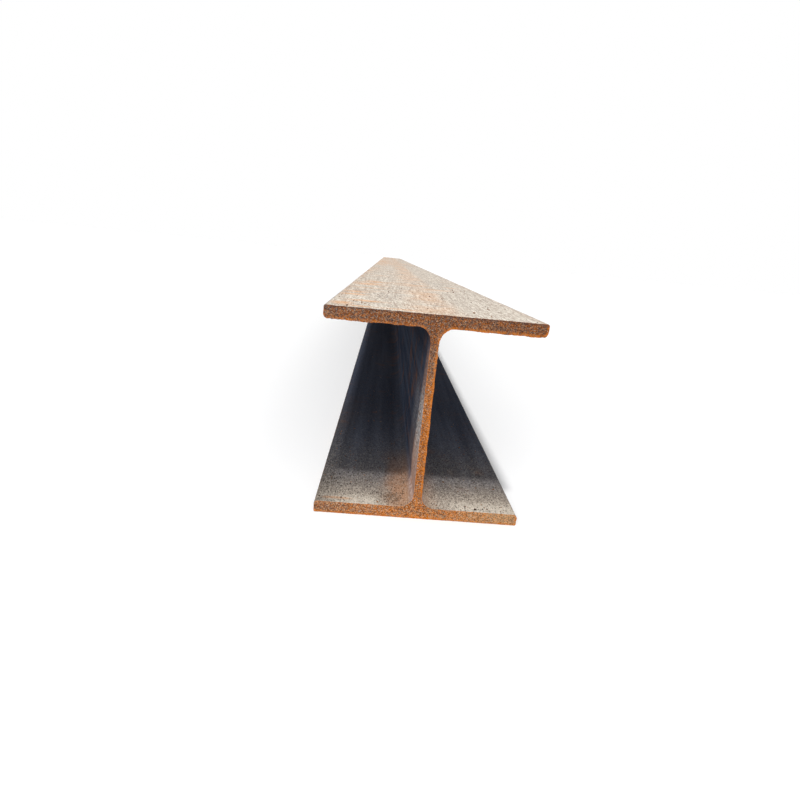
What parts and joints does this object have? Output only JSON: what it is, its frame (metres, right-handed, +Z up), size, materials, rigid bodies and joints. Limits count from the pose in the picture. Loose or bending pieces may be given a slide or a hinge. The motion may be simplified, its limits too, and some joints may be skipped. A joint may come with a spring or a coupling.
{
  "type": "steel h-beam",
  "caption": "Hot-rolled steel H-beam: wide parallel flanges joined by a thin upright web with rounded roots, sawn square at both ends. Structural stock for columns and girders.",
  "frame": {"origin": "middle of the lower flange's underside, halfway along the length", "axes": "+Y along the length, +Z up through the web, X across the flanges"},
  "size_m": [0.2, 6, 0.2],
  "materials": {
    "weathered_steel": "hot-rolled mill scale, dusty and lightly rusted, with rusted sawn ends"
  },
  "bodies": {
    "root": {"h_beam": "weathered_steel"}
  },
  "joints": []
}
